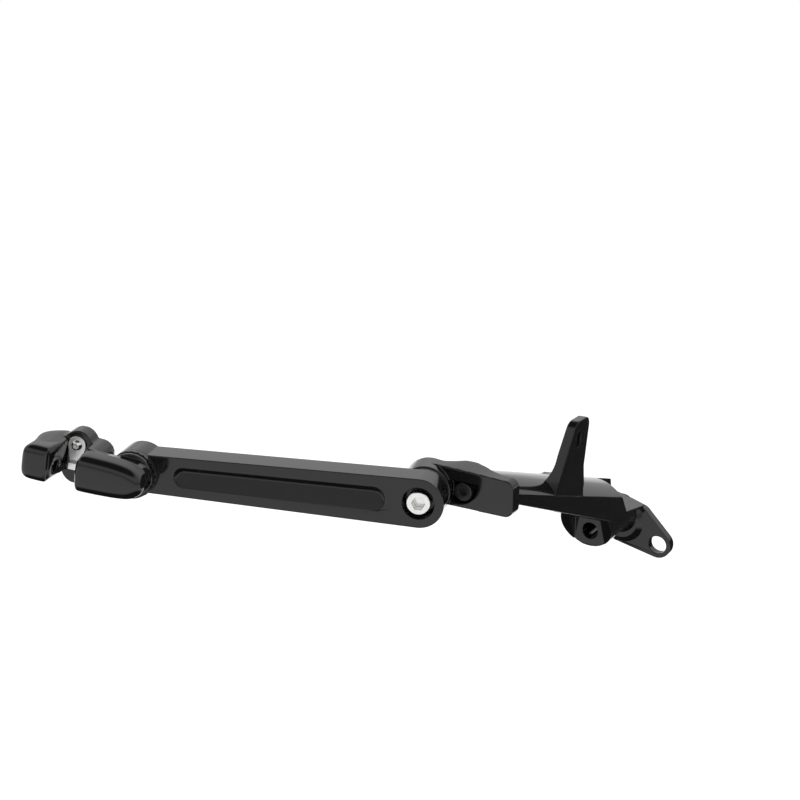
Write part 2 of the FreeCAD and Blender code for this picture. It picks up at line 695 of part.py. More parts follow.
# Support arm, in its own frame
def support_arm():
    outline = [
        ("0", "0", "arm_rear_radius"),
        ("0 + arm_length", "0", "arm_front_radius"),
    ]
    bar = belt("arm_bar", "XZ", outline, "-arm_thickness", "arm_thickness")
    head = rod("arm_head", "XZ", "arm_length", "-arm_thickness", "0", "arm_head_radius", "arm_thickness")
    boss = cone("arm_boss", "XZ", "arm_length", "-arm_thickness - arm_boss_height", "0", "arm_boss_radius",
                "arm_head_radius", "arm_boss_height")
    mass = fuse("arm_mass", bar, head, boss)
    outer_channel = belt(
        "outer_channel",
        "XZ",
        [("channel_rear_s", "0", "channel_rear_radius"), ("channel_front_s", "0", "channel_front_radius")],
        "-channel_depth",
        "channel_depth + 1",
    )
    inner_channel = belt(
        "inner_channel",
        "XZ",
        [("inner_channel_rear_s", "0", "channel_rear_radius"), ("channel_front_s", "0", "channel_front_radius")],
        "-arm_thickness - 1",
        "channel_depth + 1",
    )
    badge_seat = rod("badge_seat", "XZ", "badge_s", "-arm_thickness - 1", "0", "badge_diameter / 2 + bore_clearance",
                     "badge_thickness + 1")
    rear_bore = rod("arm_rear_bore", "XZ", "0", "-arm_thickness - 1", "0", "pivot_bolt_diameter / 2 + bore_clearance",
                    "arm_thickness + 2")
    rear_sink = rod("arm_rear_sink", "XZ", "0", "-pivot_head_height - washer_thickness", "0", "pivot_counterbore / 2",
                    "pivot_head_height + washer_thickness + 1")
    front_bore = rod("arm_front_bore", "XZ", "arm_length", "-arm_thickness - arm_boss_height - 1", "0",
                     "front_bolt_diameter / 2 + bore_clearance", "arm_thickness + arm_boss_height + 2")
    front_sink = rod("arm_front_sink", "XZ", "arm_length", "-arm_thickness - arm_boss_height - 1", "0",
                     "front_counterbore / 2", "front_head_height + washer_thickness + 3")
    front_mouth = cone("arm_front_mouth", "XZ", "arm_length", "-arm_thickness - arm_boss_height", "0",
                       "front_mouth_diameter / 2", "front_counterbore / 2", "front_mouth_depth")
    keys = dowel_holes("front_dowel_holes", ARM.inverse().multiply(FRONT_RING))
    drilled = cut("arm_drilled", mass, outer_channel, inner_channel, badge_seat, rear_bore, rear_sink, front_bore,
                  front_sink, front_mouth, keys)
    return finish(drilled, "support_arm", ARM)


def serrated_ring(label, place):
    """Ring with radial teeth on its upper face, about Z."""
    ring = Part.makeCylinder(num("ring_radius"), num("ring_thickness"))
    ring = ring.cut(Part.makeCylinder(num("ring_bore_diameter / 2"), num("ring_thickness")))
    teeth = int(num("ring_teeth"))
    depth = num("tooth_depth")
    reach = num("ring_radius") + 1
    half = math.tan(math.pi / teeth) * reach * 0.5
    top = num("ring_thickness")
    corners = [V(0, -half, top + 0.01), V(0, half, top + 0.01), V(0, 0, top - depth)]
    groove = Part.Face(Part.makePolygon(corners + corners[:1])).extrude(V(reach, 0, 0))
    grooves = []
    for tooth in range(teeth):
        copy = groove.copy()
        copy.rotate(V(0, 0, 0), V(0, 0, 1), tooth * 360 / teeth)
        grooves.append(copy)
    ring = ring.cut(grooves)
    for turn in (0, 180):
        hole = Part.makeCylinder(num("dowel_diameter / 2"), num("ring_thickness"))
        hole.translate(V(num("dowel_circle_radius"), 0, 0))
        hole.rotate(V(0, 0, 0), V(0, 0, 1), turn)
        ring = ring.cut(hole)
    item = doc.addObject("Part::Feature", label)
    item.Shape = ring
    return finish(item, label, place)


def ring_dowels(label, place):
    """Two dowels that key a serrated ring to the casting beneath it."""
    pins = []
    for turn in (0, 180):
        pin = Part.makeCylinder(num("dowel_diameter / 2"), num("dowel_length"))
        pin.translate(V(num("dowel_circle_radius"), 0, num("ring_thickness - tooth_depth - 0.5 - dowel_length")))
        pin.rotate(V(0, 0, 0), V(0, 0, 1), turn)
        pins.append(pin)
    item = doc.addObject("Part::Feature", label)
    item.Shape = Part.makeCompound(pins)
    return finish(item, label, place)


def dowel_holes(name, place):
    """Holes for the dowels in the casting beneath a ring."""
    holes = []
    for turn in (0, 180):
        hole = Part.makeCylinder(num("dowel_diameter / 2"), num("dowel_length"))
        hole.translate(V(num("dowel_circle_radius"), 0, num("ring_thickness - tooth_depth - 0.5 - dowel_length")))
        hole.rotate(V(0, 0, 0), V(0, 0, 1), turn)
        holes.append(hole)
    item = doc.addObject("Part::Feature", name)
    item.Shape = Part.makeCompound(holes)
    item.Placement = place
    return item


def pivot_fasteners():
    inner = num("-barrel_depth")
    place = ARM.multiply(FreeCAD.Placement(V(0, inner, 0), OUTWARD))
    washer("pivot_thread_insert", "pivot_bolt_diameter / 2", "pivot_bolt_diameter / 2 + insert_wall",
           "barrel_depth - arm_thickness - ring_thickness", place)
    floor = num("-pivot_head_height - washer_thickness")
    place = ARM.multiply(FreeCAD.Placement(V(0, floor, 0), OUTWARD))
    washer("arm_pivot_washer", "pivot_bolt_diameter / 2 + 0.3", "pivot_washer_diameter / 2", "washer_thickness", place)
    head = place.multiply(FreeCAD.Placement(V(0, 0, num("washer_thickness")), FreeCAD.Rotation()))
    cap_screw("arm_pivot_bolt", "pivot", head)
    badge = ARM.multiply(FreeCAD.Placement(V(num("badge_s"), num("badge_thickness - arm_thickness"), 0), INWARD))
    washer("arm_badge", "0", "badge_diameter / 2", "badge_thickness", badge)


# Peg clevis, in its own frame: X along the peg's pin, Y outboard, Z up
def peg_clevis():
    root = "ring_thickness + hub_disc_height"
    corner = "clevis_corner_radius"
    web_rounds = [
        (f"clevis_wrap_s + {corner}", f"clevis_bottom + {corner}", corner),
        (f"clevis_tip_s - {corner}", f"clevis_bottom + {corner}", corner),
        (f"clevis_tip_s - {corner}", f"clevis_top - {corner}", corner),
        ("clevis_wrap_s + clevis_shoulder_radius", "clevis_top - clevis_shoulder_radius", "clevis_shoulder_radius"),
    ]
    web_bar = belt("clevis_bar", "XZ", web_rounds, "clevis_back", "clevis_reach - clevis_back")
    plan = [
        ("clevis_wrap_s", "clevis_back"),
        ("clevis_tip_s - clevis_back_chamfer", "clevis_back"),
        ("clevis_tip_s", "clevis_back + 2 * clevis_back_chamfer"),
        ("clevis_tip_s", "clevis_reach"),
        ("clevis_gap_rear_s + clevis_gap / 2", "clevis_reach"),
        ("clevis_gap_rear_s + clevis_gap / 2", "clevis_nose_reach"),
        ("clevis_wrap_s", "clevis_nose_reach"),
    ]
    web = common("clevis_web", web_bar, prism("clevis_plan", "XY", plan, "-2 * clevis_top", "4 * clevis_top"))
    ears = [
        ("leaf_s", "-clevis_ear_h", "clevis_ear_radius"),
        ("leaf_s", "clevis_ear_h", "clevis_ear_radius"),
    ]
    saddle = belt("clevis_saddle", "XZ", ears, "clevis_back", "clevis_web_face - clevis_back")
    nose_rounds = [
        ("clevis_nose_s", "clevis_nose_h", "clevis_nose_radius"),
        (f"clevis_gap_rear_s - {corner}", f"clevis_bottom + {corner}", corner),
        (f"clevis_gap_rear_s - {corner}", f"clevis_top - {corner}", corner),
    ]
    nose = belt("clevis_nose", "XZ", nose_rounds, root, f"clevis_nose_reach - {root}")
    hub = rod("clevis_hub", "XZ", "0", "ring_thickness", "0", "hub_disc_radius", "hub_disc_height + 1")
    mass = fuse("clevis_mass", web, saddle, nose, hub)

    gap = block("clevis_mouth", "clevis_gap_rear_s", "clevis_web_face", "-2 * clevis_top", "clevis_gap",
                "clevis_reach * 2", "4 * clevis_top")
    head_room = rod("arm_room", "XZ", "0", "clevis_back * 2", "0", "arm_head_radius + 2", "ring_thickness - clevis_back * 2")
    bay_round = rod("leaf_bay_round", "XZ", "leaf_s", "clevis_web_face", "leaf_h", "leaf_radius + 3", "11")
    bay_side = block("leaf_bay_side", "clevis_wrap_s", "clevis_back", "-2 * clevis_top",
                     "clevis_gap_rear_s - clevis_wrap_s + clevis_gap", "clevis_reach * 2", "4 * clevis_top")
    leaf_bay = common("leaf_bay", bay_round, bay_side)
    back_slot = block("back_slot", "clevis_gap_rear_s - 1", "clevis_back - 1", "-back_slot_half_height",
                      "clevis_gap + 2", "back_slot_depth + 1", "2 * back_slot_half_height")
    pin_bore = rod("peg_pin_bore", "YZ", "peg_pin_start", "peg_pin_reach", "peg_pin_h", "peg_pin_diameter / 2",
                   "clevis_tip_s - peg_pin_start + 1")
    bolt_bore = rod("clevis_bore", "XZ", "0", "ring_thickness - 1", "0",
                    "front_bolt_diameter / 2 + clevis_insert_wall", "clevis_nose_reach - 5")
    leaf_hole = rod("leaf_screw_hole", "XZ", "leaf_s", "clevis_web_face - 7", "leaf_h", "leaf_screw_diameter / 2", "9")
    drilled = cut("clevis_drilled", mass, head_room, gap, leaf_bay, back_slot, pin_bore, bolt_bore, leaf_hole)
    return finish(drilled, "peg_clevis", CLEVIS)


def clevis_fasteners():
    floor = "-arm_thickness - arm_boss_height + front_head_height + washer_thickness + 2"
    place = ARM.multiply(FreeCAD.Placement(V(num("arm_length"), num(floor), 0), INWARD))
    washer("front_washer", "front_bolt_diameter / 2 + 0.3", "front_washer_diameter / 2", "washer_thickness", place)
    head = place.multiply(FreeCAD.Placement(V(0, 0, num("washer_thickness")), FreeCAD.Rotation()))
    cap_screw("front_screw", "front", head)
    place = CLEVIS.multiply(FreeCAD.Placement(V(0, num("ring_thickness"), 0), OUTWARD))
    washer("clevis_thread_insert", "front_bolt_diameter / 2", "front_bolt_diameter / 2 + clevis_insert_wall",
           "clevis_nose_reach - 8", place)


def detent_leaf():
    face = "clevis_web_face"
    blade = belt(
        "leaf_blade",
        "XZ",
        [
            ("leaf_s", "leaf_h", "leaf_radius"),
            ("leaf_s + 0.5", "leaf_h - leaf_length + leaf_foot_width / 2", "leaf_foot_width / 2"),
        ],
        face,
        "leaf_thickness",
    )
    foot = block("leaf_foot", "leaf_s + 0.5 - leaf_foot_width / 2", face, "leaf_h - leaf_length",
                 "leaf_foot_width", "leaf_foot_depth", "leaf_foot_width * 0.8")
    hole = rod("leaf_hole", "XZ", "leaf_s", f"{face} - 1", "leaf_h", "leaf_screw_diameter / 2 + 0.1", "4")
    return finish(cut("leaf_drilled", fuse("leaf_mass", blade, foot), hole), "detent_leaf", CLEVIS)


def leaf_screw():
    head = "leaf_screw_head_diameter / 2"
    tall = "leaf_screw_head_height"
    shank = "leaf_screw_diameter / 2"
    profile = [
        ("0", tall),
        (f"{head} * 0.55", tall),
        (f"{head} * 0.85", f"{tall} * 0.65"),
        (head, f"{tall} * 0.15"),
        (head, "0"),
        (shank, "0"),
        (shank, "-leaf_screw_length"),
        ("0", "-leaf_screw_length"),
    ]
    at = V(num("leaf_s"), num("clevis_web_face + leaf_thickness"), num("leaf_h"))
    place = CLEVIS.multiply(FreeCAD.Placement(at, OUTWARD))
    return turned("leaf_screw", profile, place, "leaf_screw_diameter * 0.6", tall, f"{tall} * 0.5")


REAR_RING = ARM.multiply(FreeCAD.Placement(V(0, num("-arm_thickness - ring_thickness"), 0), OUTWARD))
FRONT_RING = ARM.multiply(FreeCAD.Placement(V(num("arm_length"), 0, 0), OUTWARD))

frame_bracket()
end_knuckle()
knuckle_fasteners()
serrated_ring("rear_serrated_ring", REAR_RING)
ring_dowels("rear_ring_dowels", REAR_RING)
pivot_fasteners()
support_arm()
serrated_ring("front_serrated_ring", FRONT_RING)
ring_dowels("front_ring_dowels", FRONT_RING)
peg_clevis()
clevis_fasteners()
detent_leaf()
leaf_screw()
doc.recompute()

for item in doc.Objects:
    if "Invalid" in item.State or "Error" in item.State:
        raise RuntimeError(f"{item.Name} failed: {item.State}")
for item in finished:
    if item.Shape.isNull() or not item.Shape.isValid():
        raise RuntimeError(f"{item.Label} has no valid shape")

os.makedirs("parts", exist_ok=True)
for item in finished:
    item.Shape.exportStep(os.path.join("parts", item.Label + ".step"))
    box = item.Shape.BoundBox
    print(f"{item.Label}: {len(item.Shape.Solids)} solid, {item.Shape.Volume:.0f} mm3")
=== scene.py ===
"""Studio scene of the highway peg mount: its castings, fasteners, finishes and light."""
import logging
import math
from dataclasses import dataclass
from enum import Enum

import bpy
from mathutils import Matrix, Vector


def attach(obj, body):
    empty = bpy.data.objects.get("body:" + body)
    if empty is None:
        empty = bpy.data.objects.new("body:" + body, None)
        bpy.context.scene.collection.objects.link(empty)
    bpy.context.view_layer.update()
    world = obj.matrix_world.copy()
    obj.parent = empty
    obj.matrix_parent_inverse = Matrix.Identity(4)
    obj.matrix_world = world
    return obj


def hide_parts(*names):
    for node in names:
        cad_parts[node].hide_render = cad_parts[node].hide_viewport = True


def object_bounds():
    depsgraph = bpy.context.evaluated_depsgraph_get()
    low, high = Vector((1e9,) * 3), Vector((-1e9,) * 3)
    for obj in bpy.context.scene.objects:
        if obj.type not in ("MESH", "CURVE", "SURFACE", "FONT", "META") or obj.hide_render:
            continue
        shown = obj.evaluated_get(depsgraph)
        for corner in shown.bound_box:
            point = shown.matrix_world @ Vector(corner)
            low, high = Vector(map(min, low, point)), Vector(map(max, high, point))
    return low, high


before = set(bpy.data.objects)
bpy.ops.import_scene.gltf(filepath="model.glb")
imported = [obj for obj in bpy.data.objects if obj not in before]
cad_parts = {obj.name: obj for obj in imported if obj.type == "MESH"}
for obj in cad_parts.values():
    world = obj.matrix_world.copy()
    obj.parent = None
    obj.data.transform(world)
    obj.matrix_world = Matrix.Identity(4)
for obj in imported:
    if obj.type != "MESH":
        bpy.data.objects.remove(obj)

MM = 0.001
LOG = logging.getLogger("highway_peg_mount")
CAD_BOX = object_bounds()
# Points of a solid that lie closer than this are merged, and so are faces that bend by less.
MERGING = 0.004 * MM
FLAT_ANGLE = math.radians(0.3)


class Part(Enum):
    """Bodies of the mount that move against each other."""

    BRACKET = "bracket"
    ARM = "arm"
    CLEVIS = "clevis"


# Shared steps


def activate(piece: bpy.types.Object) -> None:
    """Makes a piece the only selected and the active object.

    Args:
        piece: The object to work on.
    """
    bpy.ops.object.select_all(action="DESELECT")
    piece.select_set(True)
    bpy.context.view_layer.objects.active = piece


def apply_modifiers(piece: bpy.types.Object) -> None:
    """Applies all modifiers of a piece.

    Args:
        piece: The object whose modifiers become mesh.
    """
    activate(piece)
    for modifier in list(piece.modifiers):
        bpy.ops.object.modifier_apply(modifier=modifier.name)


def merge(piece: bpy.types.Object, distance: float, bend: float = 0.0) -> None:
    """Merges the points of a piece that lie close together, and its faces that lie level.

    Args:
        piece: The object to work on.
        distance: Largest distance of two points that become one, in metres.
        bend: Largest angle between two faces that become one, in radians, or nought for none.
    """
    activate(piece)
    bpy.ops.object.mode_set(mode="EDIT")
    bpy.ops.mesh.select_all(action="SELECT")
    bpy.ops.mesh.remove_doubles(threshold=distance)
    if bend:
        bpy.ops.mesh.dissolve_limited(angle_limit=bend, use_dissolve_boundaries=False)
    bpy.ops.object.mode_set(mode="OBJECT")


def merged_copy(node: str, name: str, axes: Matrix) -> bpy.types.Object:
    """Copies a frame solid and joins its loose triangles to whole faces.

    Args:
        node: Name of the frame solid.
        name: Name of the copy.
        axes: Matrix from the axes that the copy is made in to the mount's.

    Returns:
        The copy in those axes.
    """
    piece = bpy.data.objects.new(name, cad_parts[node].data.copy())
    bpy.context.scene.collection.objects.link(piece)
    piece.data.transform(axes.inverted())
    merge(piece, MERGING, FLAT_ANGLE)
    return piece


def add_facets(piece: bpy.types.Object, grain: float) -> None:
    """Adds a modifier that gives a piece small even facets.

    Args:
        piece: The object to work on.
        grain: Size of a facet, in metres.
    """
    facets = piece.modifiers.new("facets", "REMESH")
    facets.mode = "VOXEL"
    facets.voxel_size = grain


def add_smoothing(piece: bpy.types.Object, passes: int, group: str = "") -> None:
    """Adds a modifier that rounds the edges of a piece with small facets.

    Args:
        piece: The object to work on.
        passes: Passes of smoothing.
        group: Name of the group of points that it works on, or all of them.
    """
    smoothing = piece.modifiers.new("smoothing", "SMOOTH")
    smoothing.factor = 0.5
    smoothing.iterations = passes
    smoothing.vertex_group = group


def own_axes(pivot: tuple[float, float, float], splay: float, rise: float) -> Matrix:
    """Finds where a swinging part stands.

    Args:
        pivot: Centre of its pivot, in metres.
        splay: Angle by which it points away from straight ahead, in degrees.
        rise: Angle by which it rises, in degrees.

    Returns:
        The matrix from the part's own axes to the mount's.
    """
    turn = Matrix.Rotation(math.radians(splay), 4, "Z") @ Matrix.Rotation(-math.radians(rise), 4, "Y")
    return Matrix.Translation(pivot) @ turn


def clamp(share: float) -> float:
    """Keeps a share between nought and one."""
    return max(0.0, min(1.0, share))


def fall_off(share: float) -> float:
    """Falls softly from one to nought while a share grows from nought to one."""
    return 0.5 + 0.5 * math.cos(math.pi * share)


def part_way(place: float, start: float, end: float) -> float:
    """Finds how far a place lies from a start to an end, from nought to one.

    Args:
        place: The place.
        start: Where the share is nought.
        end: Where it is one.

    Returns:
        The share of the way.
    """
    return clamp((place - start) / (end - start))


def new_material(name: str) -> tuple[bpy.types.Material, bpy.types.NodeTree, bpy.types.Node]:
    """Makes a node material.

    Args:
        name: Its name.

    Returns:
        The material, its node tree and its main shader.
    """
    material = bpy.data.materials.new(name)
    material.use_nodes = True
    return material, material.node_tree, material.node_tree.nodes["Principled BSDF"]


def grey(tone: float) -> tuple[float, float, float, float]:
    """Makes an opaque grey of one tone."""
    return (tone, tone, tone, 1.0)


def add_ramp(tree: bpy.types.NodeTree, value: bpy.types.NodeSocket, ends: tuple[float, float],
             results: tuple[float, float] = (0.0, 1.0)) -> bpy.types.NodeSocket:
    """Adds a node that runs evenly from one result to another.

    Args:
        tree: The node tree.
        value: What the result depends on.
        ends: Values where the run starts and ends.
        results: Results there.

    Returns:
        The result.
    """
    ramp = tree.nodes.new("ShaderNodeMapRange")
    ramp.inputs["From Min"].default_value, ramp.inputs["From Max"].default_value = ends
    ramp.inputs["To Min"].default_value, ramp.inputs["To Max"].default_value = results
    tree.links.new(value, ramp.inputs["Value"])
    return ramp.outputs["Result"]


def combine(tree: bpy.types.NodeTree, kind: str, first: bpy.types.NodeSocket,
            second: bpy.types.NodeSocket) -> bpy.types.NodeSocket:
    """Adds a node that works out one value from two.

    Args:
        tree: The node tree.
        kind: Blender's name for what it does with them.
        first: The first value.
        second: The second value.

    Returns:
        The value.
    """
    node = tree.nodes.new("ShaderNodeMath")
    node.operation = kind
    tree.links.new(first, node.inputs[0])
    tree.links.new(second, node.inputs[1])
    return node.outputs[0]


def add_mix(tree: bpy.types.NodeTree, share: bpy.types.NodeSocket, first: bpy.types.NodeSocket,
            second: bpy.types.NodeSocket) -> bpy.types.NodeSocket:
    """Adds a node that blends two shaders.

    Args:
        tree: The node tree.
        share: Share of the second shader.
        first: The first shader.
        second: The second shader.

    Returns:
        The blend.
    """
    mix = tree.nodes.new("ShaderNodeMixShader")
    tree.links.new(share, mix.inputs["Fac"])
    tree.links.new(first, mix.inputs[1])
    tree.links.new(second, mix.inputs[2])
    return mix.outputs[0]


def add_background(tree: bpy.types.NodeTree, tone: float, strength: float) -> bpy.types.Node:
    """Adds a plain grey background.

    Args:
        tree: The world's node tree.
        tone: Its tone.
        strength: Its strength.

    Returns:
        The background node.
    """
    background = tree.nodes.new("ShaderNodeBackground")
    background.inputs["Color"].default_value = grey(tone)
    background.inputs["Strength"].default_value = strength
    return background


# Finishes


@dataclass(frozen=True)
class Finish:
    """A surface finish with its colour, gloss and fine relief.

    The relief and the mottling are noises in the object's own coordinates.

    Attributes:
        name: Name of the material.
        slot: Slot of the record that the finish belongs to; not used.
        colour: Base colour, linear.
        metallic: One for bare metal.
        roughness: Middle roughness.
        roughness_spread: How far the mottling moves it either way.
        mottle_size: Size of one lump of the mottling, in metres.
        relief_size: Size of one lump of the relief, in metres.
        relief_depth: Depth of the relief, in metres.
        specular: Strength of the clear reflection.
        soft_edge: Radius over which edges catch the light, in metres.
        tones: Darkest and lightest tone of the mottling, as shares of the colour.
    """

    name: str
    slot: str
    colour: tuple[float, float, float]
    metallic: float
    roughness: float
    roughness_spread: float
    mottle_size: float
    relief_size: float
    relief_depth: float
    specular: float = 0.5
    soft_edge: float = 0.0
    tones: tuple[float, float] = (0.86, 1.14)

    def noise(self, tree: bpy.types.NodeTree, size: float, detail: float) -> bpy.types.Node:
        """Adds a noise of a real size in object coordinates.

        Args:
            tree: The material's node tree.
            size: Size of one lump, in metres.
            detail: Octaves of finer noise.

        Returns:
            The noise node.
        """
        coordinates = tree.nodes.new("ShaderNodeTexCoord")
        noise = tree.nodes.new("ShaderNodeTexNoise")
        noise.inputs["Scale"].default_value = 1.0 / size
        noise.inputs["Detail"].default_value = detail
        tree.links.new(coordinates.outputs["Object"], noise.inputs["Vector"])
        return noise

    def material(self) -> bpy.types.Material:
        """Builds the material.

        Returns:
            The node material.
        """
        material, tree, shader = new_material(self.name)
        shader.inputs["Metallic"].default_value = self.metallic
        shader.inputs["Specular IOR Level"].default_value = self.specular
        mottle = self.noise(tree, self.mottle_size, detail=3.0)
        limits = (self.roughness - self.roughness_spread, self.roughness + self.roughness_spread)
        gloss = add_ramp(tree, mottle.outputs["Fac"], (0.0, 1.0), limits)
        tree.links.new(gloss, shader.inputs["Roughness"])
        tint = tree.nodes.new("ShaderNodeValToRGB")
        for element, tone in zip(tint.color_ramp.elements, self.tones):
            element.color = (*[tone * part for part in self.colour], 1.0)
        tree.links.new(mottle.outputs["Fac"], tint.inputs["Fac"])
        tree.links.new(tint.outputs["Color"], shader.inputs["Base Color"])
        relief = self.noise(tree, self.relief_size, detail=2.0)
        bump = tree.nodes.new("ShaderNodeBump")
        bump.inputs["Distance"].default_value = self.relief_depth
        bump.inputs["Strength"].default_value = 1.0
        tree.links.new(relief.outputs["Fac"], bump.inputs["Height"])
        if self.soft_edge:
            edge = tree.nodes.new("ShaderNodeBevel")
            edge.samples = 6
            edge.inputs["Radius"].default_value = self.soft_edge
            tree.links.new(edge.outputs["Normal"], bump.inputs["Normal"])
        tree.links.new(bump.outputs["Normal"], shader.inputs["Normal"])
        return material


GLOSS_BLACK = Finish("gloss_black_powder_coat", "black_casting", (0.005, 0.005, 0.0053), 0.0, 0.11, 0.02,
                     9 * MM, 2.2 * MM, 0.002 * MM, specular=0.44, soft_edge=0.9 * MM)
BADGE_BLACK = Finish("satin_black_inlay", "badge_black", (0.016, 0.016, 0.017), 0.0, 0.34, 0.05,
                     5 * MM, 0.5 * MM, 0.003 * MM)
BRIGHT_STEEL = Finish("bright_stainless", "bright_steel", (0.72, 0.72, 0.71), 1.0, 0.2, 0.04,
                      2 * MM, 0.6 * MM, 0.002 * MM)
# Painted shade: the bright steel knuckle bolt is coloured near black so that it reads as the shade in its
# pocket.
BOLT_PAINTED_SHADE = Finish("bolt_painted_shade", "bright_steel", (0.012, 0.012, 0.012), 0.0, 0.3, 0.05,
                      2 * MM, 0.6 * MM, 0.002 * MM)
PLATED_STEEL = Finish("zinc_plated_steel", "plated_steel", (0.52, 0.52, 0.54), 1.0, 0.34, 0.06,
                      2 * MM, 0.5 * MM, 0.003 * MM)
# Painted shade: the plated steel washers and serrated rings are coloured near black so that they read as
# the shade in the counterbore, the pocket and the gaps between parts.
RING_PAINTED_SHADE = Finish("ring_painted_shade", "plated_steel", (0.012, 0.012, 0.012), 0.0, 0.26, 0.05,
                      2 * MM, 0.5 * MM, 0.003 * MM)
SPRING_STEEL = Finish("spring_strip", "spring_steel", (0.7, 0.7, 0.69), 1.0, 0.32, 0.05,
                      3 * MM, 0.6 * MM, 0.002 * MM)


# Pieces


@dataclass
class RoundedPiece:
    """A frame solid with its sharp edges rounded over.

    Attributes:
        node: Name of the frame solid.
        part: Body that it rides on.
        finish: Surface finish.
        edge_radius: Radius of the rounding, in metres.
        sharpest: Edges that bend less than this angle stay as they are, in degrees.
        smoothest: Faces that meet at less than this angle are shaded as one, in degrees.
        segments: Strips in the rounding.
        stray: Share of the radius by which a point may leave the solid.
    """

    node: str
    part: Part
    finish: Finish
    edge_radius: float
    sharpest: float = 28.0
    smoothest: float = 31.0
    segments: int = 4
    stray: float = 0.45

    def settle(self, piece: bpy.types.Object, source: bpy.types.Object) -> None:
        """Puts points that the rounding threw clear of the solid back on its surface.

        Args:
            piece: The rounded copy.
            source: The frame solid.
        """
        for vertex in piece.data.vertices:
            found, point, _, _ = source.closest_point_on_mesh(vertex.co)
            if found and (point - vertex.co).length > self.stray * self.edge_radius:
                vertex.co = point

    def trim(self, piece: bpy.types.Object) -> None:
        """Hook for a casting that changes its copy before the edges are rounded.

        Args:
            piece: The copy of the frame solid.
        """

    def build(self, material: bpy.types.Material) -> bpy.types.Object:
        """Builds the rounded copy, which stands for the frame solid.

        Args:
            material: Material of the finish.

        Returns:
            The finished piece.
        """
        piece = merged_copy(self.node, self.node + "_rounded", Matrix())
        self.trim(piece)
        if self.edge_radius:
            bevel = piece.modifiers.new("rounding", "BEVEL")
            bevel.width = self.edge_radius
            bevel.segments = self.segments
            bevel.limit_method = "ANGLE"
            bevel.angle_limit = math.radians(self.sharpest)
            bevel.use_clamp_overlap = False
            apply_modifiers(piece)
            self.settle(piece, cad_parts[self.node])
        activate(piece)
        bpy.ops.object.shade_smooth_by_angle(angle=math.radians(self.smoothest))
        normals = piece.modifiers.new("normals", "WEIGHTED_NORMAL")
        normals.keep_sharp = True
        apply_modifiers(piece)
        piece.data.materials.clear()
        piece.data.materials.append(material)
        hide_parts(self.node)
        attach(piece, self.part.value)
        return piece


@dataclass
class BracketCasting(RoundedPiece):
    """The frame bracket, with its tab's foot flush with the beam's side and its slot opened up.

    Attributes:
        rear: Place of the beam's rear side along X, in metres.
        foot_reach: How far the tab's foot may stand out from that side, in metres.
        foot: Heights of the foot's two ends, in metres.
        slot_place: Place of the tab's slot along Y and heights of its round ends, in metres.
        slot_radius: Half the slot's width in the frame solid, in metres.
        slot_opened: Half the width that the casting shows, in metres.
        touch: How far a point may lie from the slot's wall and belong to it, in metres.
    """

    rear: float = -21.0 * MM
    foot_reach: float = 1.4 * MM
    foot: tuple[float, float] = (50.0 * MM, 73.0 * MM)
    slot_place: tuple[float, float, float] = (157.5 * MM, 102.0 * MM, 108.0 * MM)
    slot_radius: float = 2.25 * MM
    slot_opened: float = 3.1 * MM
    touch: float = 0.05 * MM

    def trim(self, piece: bpy.types.Object) -> None:
        """Sets the foot of the tab back to the beam's side and opens its slot.

        Args:
            piece: The copy of the frame solid.
        """
        across, lowest, highest = self.slot_place
        for point in piece.data.vertices:
            out = self.rear - point.co.x
            if 0.0 < out < self.foot_reach and self.foot[0] < point.co.z < self.foot[1]:
                point.co.x = self.rear
            middle = min(max(point.co.z, lowest), highest)
            offset = Vector((point.co.y - across, point.co.z - middle))
            if abs(offset.length - self.slot_radius) < self.touch:
                offset *= self.slot_opened / self.slot_radius
                point.co.y, point.co.z = across + offset.x, middle + offset.y


@dataclass
class KnuckleCasting(RoundedPiece):
    """The end knuckle, with its soft edges and the hump of its plate's upper rear edge.

    Attributes:
        grain: Size of the surface's facets before they are smoothed, in metres.
        edge_passes: Passes of smoothing over every edge.
        hump_place: Place of the hump's top along X, in metres.
        hump_height: Height of the hump, in metres.
        hump_depth: Thickness that it adds behind the plate, in metres.
        hump_reach: How far it runs out towards the plate's end and the barrel, in metres.
        hump_foot: Heights between which it grows to its full effect, in metres.
        plate: Places of the plate's two faces along Y, in metres.
    """

    grain: float = 0.45 * MM
    edge_passes: int = 7
    hump_place: float = 10.0 * MM
    hump_height: float = 1.1 * MM
    hump_depth: float = 8.0 * MM
    hump_reach: tuple[float, float] = (28.0 * MM, 19.0 * MM)
    hump_foot: tuple[float, float] = (101.5 * MM, 107.5 * MM)
    plate: tuple[float, float] = (260.0 * MM, 270.0 * MM)

    def trim(self, piece: bpy.types.Object) -> None:
        """Softens the casting's edges and raises the hump.

        Args:
            piece: The copy of the frame solid.
        """
        add_facets(piece, self.grain)
        add_smoothing(piece, self.edge_passes)
        apply_modifiers(piece)
        behind, ahead = self.hump_reach
        for point in piece.data.vertices:
            offset = point.co.x - self.hump_place
            run = clamp(abs(offset) / (behind if offset < 0.0 else ahead))
            rise = part_way(point.co.z, *self.hump_foot)
            back = part_way(point.co.y, self.plate[1], self.plate[0])
            share = rise * back * fall_off(run)
            point.co.z += self.hump_height * share
            point.co.y -= self.hump_depth * share


